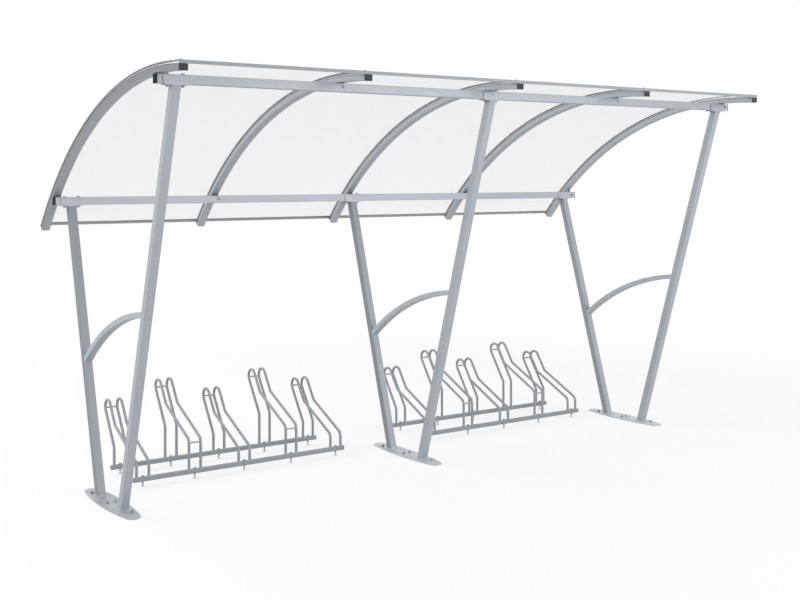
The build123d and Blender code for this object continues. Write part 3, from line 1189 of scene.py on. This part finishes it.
@dataclass
class Roof:
    """Ribs, sheets, seals and strips, with their screws."""

    finishes: Finishes
    rails: Rails
    rib_count: int = 5
    rib_radius: float = 2.5535
    rib_height: float = 0.035
    lip_drop: float = 0.0044
    lip_height: float = 0.0022
    lip_half: float = 0.0006
    front_clearance: float = 0.0025
    rear_clearance: float = 0.002
    screw_count: int = 7
    screw_inset: float = 0.16
    screw_end_angle: float = 1.2
    screw_turn: float = 13.0
    screw_washer: float = 0.0016
    edge_bolt_inset: float = 0.040
    strip_thickness: float = 0.003
    web_height: float = 0.0106
    web_fit: float = 0.0005
    web_half: float = 0.0035
    arc_steps: int = 60
    # depth inside an end rib's outer face from which its painted shade starts
    shaded_face_depth: float = 0.0008

    def centre(self) -> Vector:
        """Finds the centre of the ribs' circle from the seats on both rails.

        Returns:
            The centre at X 0.
        """
        half = self.rails.side / 2
        front, rear = self.rails.centre("front_rail"), self.rails.centre("rear_rail")
        first = Vector((0, front.y, front.z + half + self.front_clearance))
        last = Vector((0, rear.y + half + self.rear_clearance, rear.z + half))
        chord = last - first
        rise = math.sqrt(self.rib_radius ** 2 - (chord.length / 2) ** 2)
        return (first + last) / 2 + Vector((0, chord.z, -chord.y)).normalized() * rise

    def rib_x(self) -> list[float]:
        """X of each rib's middle."""
        boxes = [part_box(f"roof_rib_{i + 1}") for i in range(self.rib_count)]
        return [(low.x + high.x) / 2 for low, high in boxes]

    def on_arc(self, x: float, angle: float, radius: float) -> Matrix:
        """Place on the roof's curve, facing outwards.

        Args:
            x: Place along the shelter.
            angle: Angle from straight up towards the rear, in degrees.
            radius: Distance from the curve's centre.

        Returns:
            The matrix.
        """
        out = Vector((0, math.sin(math.radians(angle)), math.cos(math.radians(angle))))
        centre = self.centre()
        point = (x, centre.y + radius * out.y, centre.z + radius * out.z)
        return facing(point, out, self.screw_turn * angle)

    def webs(self) -> None:
        """Makes the upright webs of the clamp strips, which fill the joints between the sheets."""
        centre = self.centre()
        sheet_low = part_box("roof_sheet_2")[0]
        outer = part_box("clamp_strips")[1].z - centre.z - self.strip_thickness
        inner = outer - self.web_height
        start = math.asin((sheet_low.y - centre.y) / outer)
        end = math.acos((sheet_low.z - centre.z) / (inner - self.web_fit))
        piece = Piece("clamp_strip_webs")
        for x in self.rib_x()[1:-1]:
            bar = Shapes.arc_bar(centre, (inner, outer), (start, end), self.web_half, self.arc_steps)
            piece.stamp(bar, [Matrix.Translation((x, 0, 0))])
        piece.done(self.finishes.strips, Slot.ALUMINIUM)

    def seal_lips_and_shadow_gap(self) -> None:
        """Makes the seals' black lips, which hang over both upper edges of each rib; their dark line is
        partly the seal and partly painted shade for the shadow gap between rib and strip.
        """
        centre = self.centre()
        outer = self.rib_radius + self.rib_height
        low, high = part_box("roof_rib_1")
        ends = math.asin((low.y - centre.y) / outer), math.acos((low.z - centre.z) / self.rib_radius)
        half = (high.x - low.x) / 2 + self.lip_half
        radii = (outer - self.lip_drop, outer - self.lip_drop + self.lip_height)
        piece = Piece("seal_lips_and_shadow_gap")
        for x in self.rib_x():
            for side in (-1, 1):
                bar = Shapes.arc_bar(centre, radii, ends, self.lip_half, self.arc_steps)
                piece.stamp(bar, [Matrix.Translation((x + side * half, 0, 0))])
        # painted shade in part: the black lips stand for the shadow gap along each rib as well as the seal
        piece.done(self.finishes.seal, Slot.RUBBER)

    def shaded_end_rib_finish(self, number: int) -> Material:
        """Zinc of an end rib, with painted shade on the face that looks out of the shelter's end.

        Args:
            number: The rib's number.

        Returns:
            The material.
        """
        low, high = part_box(f"roof_rib_{number}")
        reach = max(abs(low.x), abs(high.x)) - self.shaded_face_depth
        return OuterFaceShadedZinc(f"zinc_end_rib_painted_shade_{number}", RIB_TONE, grain=Grain.ACROSS, reach=reach).make()

    def screws(self) -> None:
        """Makes the button screws along the clamp strips and the bolts through the front edge angle."""
        centre = self.centre()
        low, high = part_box("clamp_strips")
        front = math.degrees(math.asin((low.y - centre.y) / self.rib_radius))
        top = high.z - centre.z
        start = front + math.degrees(self.screw_inset / self.rib_radius)
        rear = math.degrees(math.acos((low.z - centre.z) / top))
        step = (rear - start - self.screw_end_angle) / (self.screw_count - 1)
        angles = [start + step * i for i in range(self.screw_count)]
        places = [self.on_arc(x, angle, top) for x in self.rib_x() for angle in angles]
        washer = Shapes.disc(radius=0.0095, height=self.screw_washer, sides=24, chamfer=0.0005)
        button = Shapes.disc(radius=0.0065, height=0.0034, sides=20, chamfer=0.0024)
        screw = Shapes.joined((washer, 0.0), (button, self.screw_washer))
        edge_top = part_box("front_edge_angle")[1].z - centre.z
        inset = math.degrees(self.edge_bolt_inset / self.rib_radius)
        bolts = [self.on_arc(x, front + inset, edge_top) for x in self.rib_x()]
        bolt = Shapes.bolt_head(flats=0.013, height=0.008, washer=0.0085)
        Piece("strip_screws").stamp(screw, places).done(self.finishes.bolts, Slot.GALVANISED)
        Piece("front_edge_bolts").stamp(bolt, bolts).done(self.finishes.bolts, Slot.GALVANISED)

    def build(self) -> None:
        """Dresses the roof and adds its screws."""
        for number in range(1, self.rib_count + 1):
            finish = self.shaded_end_rib_finish(number) if number in (1, self.rib_count) else self.finishes.ribs
            dress(f"roof_rib_{number}", finish, edge=0.0025, segments=2)
        for i in range(self.rib_count - 1):
            dress(f"roof_sheet_{i + 1}", self.finishes.sheet)
        dress("rib_front_caps", self.finishes.black_caps, edge=0.001, segments=2)
        dress("rib_rear_caps", self.finishes.grey_caps, edge=0.001, segments=2)
        dress("front_cleats", self.finishes.cleats)
        dress("rear_cleats", self.finishes.cleats)
        # painted light: the gaskets take the near-white tone that lifts their shade
        dress("glazing_gaskets", self.finishes.bead)
        dress("clamp_strips", self.finishes.strips, edge=0.0007, segments=1)
        dress("front_edge_angle", self.finishes.front_edge, edge=0.0005, segments=1)
        dress("rear_edge_profiles", self.finishes.rear_edge, edge=0.0004, segments=1)
        self.webs()
        self.seal_lips_and_shadow_gap()
        self.screws()


@dataclass
class Racks:
    """Two wheel racks: round bent hoops with cross ties on square bars."""

    finishes: Finishes
    sides: tuple[str, ...] = ("left", "right")
    place_count: int = 5
    hoop_radius: float = 0.009
    tie_radius: float = 0.005
    hoop_spacing: float = 0.080
    strand_spacing: float = 0.096
    lean: float = 35.0
    rear_bar: float = 0.627
    front_bar: float = 0.252
    bar_top: float = 0.060
    bar_half: float = 0.0135
    bend_reach: float = 0.1115
    slant_reach: float = 0.013
    high_bend: float = 0.509
    low_drop: float = 0.097
    front_knee: float = 0.247
    top_tie_angle: float = 12.0
    front_tie_drop: float = 0.020
    front_radius: float = 0.040
    knee_radius: float = 0.018
    bend_steps: int = 22
    knee_steps: int = 5
    front_steps: int = 9
    hoop_sides: int = 16
    tie_sides: int = 12
    hoop_crease: float = 50.0
    seam_rise: float = 0.0006
    seam_reach: float = 0.0008
    seam_radius: float = 0.0022
    seam_crease: float = 60.0
    nut_turn: float = 31.0
    plug_wall: float = 0.0012
    plug_thickness: float = 0.003
    plug_edge: float = 0.001

    def arc(self, centre: Vector, radius: float, start: float, end: float, steps: int) -> list[Vector]:
        """Points of an arc in the YZ plane.

        Args:
            centre: Its centre.
            radius: Its radius.
            start: Angle of its first point from straight up towards the rear, in degrees.
            end: Angle of its last point.
            steps: Number of steps.

        Returns:
            The points.
        """
        angles = [math.radians(start + (end - start) * i / steps) for i in range(steps + 1)]
        return [centre + radius * Vector((0, math.sin(a), math.cos(a))) for a in angles]

    def rounded(self, before: Vector, corner: Vector, after: Vector, radius: float,
                steps: int) -> list[Vector]:
        """Points of a corner rounded to a radius.

        Args:
            before: The point before the corner.
            corner: The corner.
            after: The point after the corner.
            radius: Radius of the bend.
            steps: Number of steps round it.

        Returns:
            The points, with both ends of the bend.
        """
        back, on = (before - corner).normalized(), (after - corner).normalized()
        half = back.angle(on) / 2
        middle = corner + (back + on).normalized() * radius / math.sin(half)
        first = corner + back * radius / math.tan(half) - middle
        last = corner + on * radius / math.tan(half) - middle
        turns = [first.slerp(last, i / steps) for i in range(steps + 1)]
        return [middle + turn * radius / turn.length for turn in turns]

    def bend_centre(self, drop: float) -> Vector:
        """Centre of a hoop's top bend at X 0."""
        return Vector((0, self.rear_bar + self.bend_reach, self.high_bend - drop))

    def hoop_path(self, drop: float) -> list[Vector]:
        """Centre line of a bent hoop at X 0.

        Args:
            drop: How much lower than a high hoop it is.

        Returns:
            The path's points.
        """
        slope = math.tan(math.radians(self.lean))
        top = self.arc(self.bend_centre(drop), self.strand_spacing / 2, 90 + self.lean, self.lean - 90,
                       self.bend_steps)
        slant_y = self.rear_bar - self.slant_reach
        foot, end = Vector((0, self.rear_bar, self.bar_top)), Vector((0, self.front_bar, self.bar_top))
        rear_knee = Vector((0, self.rear_bar, top[0].z - (top[0].y - self.rear_bar) / slope))
        slant_knee = Vector((0, slant_y, top[-1].z - (top[-1].y - slant_y) / slope))
        front_knee = Vector((0, self.front_bar, self.front_knee - drop))
        return [
            foot,
            *self.rounded(foot, rear_knee, top[0], self.knee_radius, self.knee_steps),
            *top,
            *self.rounded(top[-1], slant_knee, front_knee, self.knee_radius, self.knee_steps),
            *self.rounded(slant_knee, front_knee, end, self.front_radius, self.front_steps),
            end,
        ]

    def wheel_places(self) -> list[tuple[str, int]]:
        """Side and number of every wheel place."""
        return [(side, number) for side in self.sides for number in range(1, self.place_count + 1)]

    def place_x(self, side: str, number: int) -> float:
        """X of a wheel place's middle."""
        low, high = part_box(f"rack_{side}_place_{number}")
        return (low.x + high.x) / 2

    def hoops(self, side: str, number: int) -> None:
        """Makes the two round hoops and the ties of a wheel place, in place of its CAD node.

        Args:
            side: The rack.
            number: The place's number.
        """
        node = f"rack_{side}_place_{number}"
        high = number % 2 == 0
        drop = 0.0 if high else self.low_drop
        x = self.place_x(side, number)
        piece = Piece(f"rack_{side}_hoops_{number}")
        path = self.hoop_path(drop)
        for edge in (-1, 1):
            shift = Matrix.Translation((x + edge * self.hoop_spacing / 2, 0, 0))
            piece.stamp(Shapes.swept(path, [self.hoop_radius] * len(path), self.hoop_sides), [shift])
        angle = 90 + self.top_tie_angle
        ties = self.arc(self.bend_centre(drop), self.strand_spacing / 2, angle, angle, steps=1)[:1]
        if high:
            ties.append(Vector((0, self.front_bar, self.front_knee - self.front_tie_drop)))
        for tie in ties:
            half = Vector((self.hoop_spacing / 2, 0, 0))
            middle = tie + Vector((x, 0, 0))
            piece.stamp(Shapes.swept([middle - half, middle + half], [self.tie_radius] * 2, self.tie_sides))
        made = piece.done(self.finishes.racks, Slot.GALVANISED, self.hoop_crease)
        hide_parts(node)

    def seams(self) -> None:
        """Makes the weld rings where the hoops stand on the bars."""
        places = []
        for side, number in self.wheel_places():
            for edge in (-1, 1):
                x = self.place_x(side, number) + edge * self.hoop_spacing / 2
                for y in (self.front_bar, self.rear_bar):
                    places.append(Matrix.Translation((x, y, self.bar_top + self.seam_rise)))
        ring = Shapes.ring(self.hoop_radius + self.seam_reach, self.seam_radius)
        piece = Piece("hoop_welds").stamp(ring, places)
        piece.done(self.finishes.welds, Slot.GALVANISED, self.seam_crease)

    def nuts(self) -> None:
        """Makes the nuts over the levelling feet."""
        places = []
        for side, number in self.wheel_places():
            for y in (self.front_bar, self.rear_bar):
                point = (self.place_x(side, number), y, self.bar_top)
                places.append(facing(point, UP, self.nut_turn * len(places)))
        shape = Shapes.nut_and_stud(flats=0.015, height=0.007, washer=0.010, stud=0.005, proud=0.003)
        Piece("rack_foot_nuts").stamp(shape, places).done(self.finishes.racks, Slot.GALVANISED)

    def plugs(self) -> None:
        """Makes the plastic plugs in the bars' ends."""
        mesh = bmesh.new()
        bmesh.ops.create_cube(mesh, size=1.0)
        size = (self.plug_thickness, 2 * self.bar_half, 2 * self.bar_half)
        bmesh.ops.scale(mesh, vec=size, verts=mesh.verts)
        Shapes.soften(mesh, mesh.edges, self.plug_edge)
        places = []
        for side in self.sides:
            low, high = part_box(f"rack_{side}_bars")
            for x, out in ((low.x, -1), (high.x, 1)):
                for y in (self.front_bar, self.rear_bar):
                    point = (x + out * self.plug_wall, y, self.bar_top - self.bar_half)
                    places.append(Matrix.Translation(point))
        Piece("rack_bar_plugs").stamp(mesh, places).done(self.finishes.grey_caps, Slot.GREY_PLASTIC)

    def build(self) -> None:
        """Dresses the bars and makes the hoops, seams, nuts and plugs."""
        for side in self.sides:
            dress(f"rack_{side}_bars", self.finishes.rack_bars, edge=0.002, segments=2)
        for side, number in self.wheel_places():
            self.hoops(side, number)
        self.seams()
        self.nuts()
        self.plugs()


@dataclass(frozen=True)
class Lamp:
    """A soft square lamp, which faces a point."""

    name: str
    place: Triple
    aim: Triple
    size: float
    watts: float

    def hang(self) -> None:
        """Adds the lamp to the scene."""
        data = bpy.data.lights.new(self.name, "AREA")
        data.size, data.energy = self.size, self.watts
        made = bpy.data.objects.new(self.name, data)
        made.location = self.place
        made.rotation_euler = (Vector(self.aim) - Vector(self.place)).to_track_quat("-Z", "Y").to_euler()
        bpy.context.scene.collection.objects.link(made)


@dataclass
class Studio:
    """Plain pale floor, soft light and the photograph's camera."""

    focal_pixels: float = 1146.4
    frame_width: float = 800.0
    frame_height: float = 600.0
    horizon_pixel: float = 176.2
    sensor: float = 36.0
    camera_place: Triple = (-4.521, -6.448, 1.9096)
    camera_yaw: float = 34.70
    view_reach: float = 200.0
    floor_reach: float = 60.0
    floor_sides: int = 96
    fade_start: float = 3.5
    fade_end: float = 7.5
    floor_tone: Colour = (0.95, 0.95, 0.955)
    floor_bounce: float = 0.38
    floor_glow: float = 0.74
    sky_light: float = 0.62
    lamps: tuple[Lamp, ...] = (
        Lamp("key_lamp", place=(4.6, -9.5, 3.6), aim=(0.0, 0.0, 1.2), size=5.0, watts=500.0),
        Lamp("side_lamp", place=(-8.5, 0.6, 3.2), aim=(0.0, 0.0, 1.8), size=4.0, watts=160.0),
        Lamp("rear_lamp", place=(-4.0, 6.0, 7.0), aim=(0.0, 0.0, 1.0), size=5.0, watts=260.0),
    )

    def camera(self) -> None:
        """Makes the camera of the photograph."""
        data = bpy.data.cameras.new("photo_camera")
        data.sensor_width = self.sensor
        data.lens = self.focal_pixels * self.sensor / self.frame_width
        data.shift_y = (self.horizon_pixel - self.frame_height / 2) / self.frame_width
        data.clip_end = self.view_reach
        made = bpy.data.objects.new("photo_camera", data)
        made.location = self.camera_place
        made.rotation_euler = (math.pi / 2, 0, -math.radians(self.camera_yaw))
        bpy.context.scene.collection.objects.link(made)
        bpy.context.scene.camera = made

    def seen(self, recipe: Recipe) -> Wire:
        """Tells rays that see the surroundings, also in metal and glass, from those that carry light.

        Args:
            recipe: The node tree.

        Returns:
            1 for a camera, glossy or transmission ray, otherwise 0.
        """
        camera = recipe.node("ShaderNodeLightPath", out="Is Camera Ray")
        kinds = camera.socket.node.outputs
        mirrored, through = (Wire(recipe, kinds[name]) for name in ("Is Glossy Ray", "Is Transmission Ray"))
        return (camera + mirrored + through).above(limit=0.5, softness=0.2)

    def floor(self) -> None:
        """Makes the pale floor, which fades to white away from the shelter."""
        mesh = bmesh.new()
        bmesh.ops.create_circle(mesh, cap_ends=True, segments=self.floor_sides, radius=self.floor_reach)
        data = bpy.data.meshes.new("studio_floor")
        mesh.to_mesh(data)
        mesh.free()
        material, recipe = surface("studio_floor")
        spot = recipe.node("ShaderNodeTexCoord", out="Object")
        reach = recipe.node("ShaderNodeVectorMath", {"operation": "LENGTH"}, {0: spot}, "Value")
        fade = reach.above((self.fade_start + self.fade_end) / 2, self.fade_end - self.fade_start)
        matt = recipe.node("ShaderNodeBsdfDiffuse", {}, {"Color": (*self.floor_tone, 1.0)})
        white = recipe.node("ShaderNodeEmission", {}, {"Color": WHITE, "Strength": 1.0})
        glowing = recipe.node("ShaderNodeMixShader", {}, {0: self.floor_glow, 1: matt, 2: white})
        seen_floor = recipe.node("ShaderNodeMixShader", {}, {0: fade, 1: glowing, 2: white})
        grey = (self.floor_bounce, self.floor_bounce, self.floor_bounce, 1.0)
        bounce = recipe.node("ShaderNodeBsdfDiffuse", {}, {"Color": grey})
        mixed = recipe.node("ShaderNodeMixShader", {}, {0: self.seen(recipe), 1: bounce, 2: seen_floor})
        recipe.node("ShaderNodeOutputMaterial", {}, {"Surface": mixed})
        data.materials.append(material)
        made = bpy.data.objects.new("studio_floor", data)
        bpy.context.scene.collection.objects.link(made)

    def sky(self) -> None:
        """Makes the world: white to the camera and in reflections, softer as a light."""
        world = bpy.data.worlds.new("studio_sky")
        world.use_nodes = True
        bpy.context.scene.world = world
        recipe = Recipe(world.node_tree)
        strength = self.seen(recipe) * (1.0 - self.sky_light) + self.sky_light
        light = recipe.node("ShaderNodeBackground", {}, {"Color": WHITE, "Strength": strength})
        recipe.node("ShaderNodeOutputWorld", {}, {"Surface": light})

    def build(self) -> None:
        """Makes the whole studio."""
        self.camera()
        self.floor()
        self.sky()
        for lamp in self.lamps:
            lamp.hang()
        bpy.context.scene.view_settings.view_transform = "Standard"


def main() -> None:
    """Builds the finishes, the sub-assemblies and the studio."""
    logging.basicConfig(level=logging.INFO, format="%(name)s: %(message)s")
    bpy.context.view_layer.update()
    finishes = Finishes()
    frames = Frames(finishes)
    rails = Rails(finishes, frames)
    for part in (frames, rails, Roof(finishes, rails), Racks(finishes), Studio()):
        LOG.info("building %s", type(part).__name__)
        part.build()


if __name__ == "__main__":
    main()
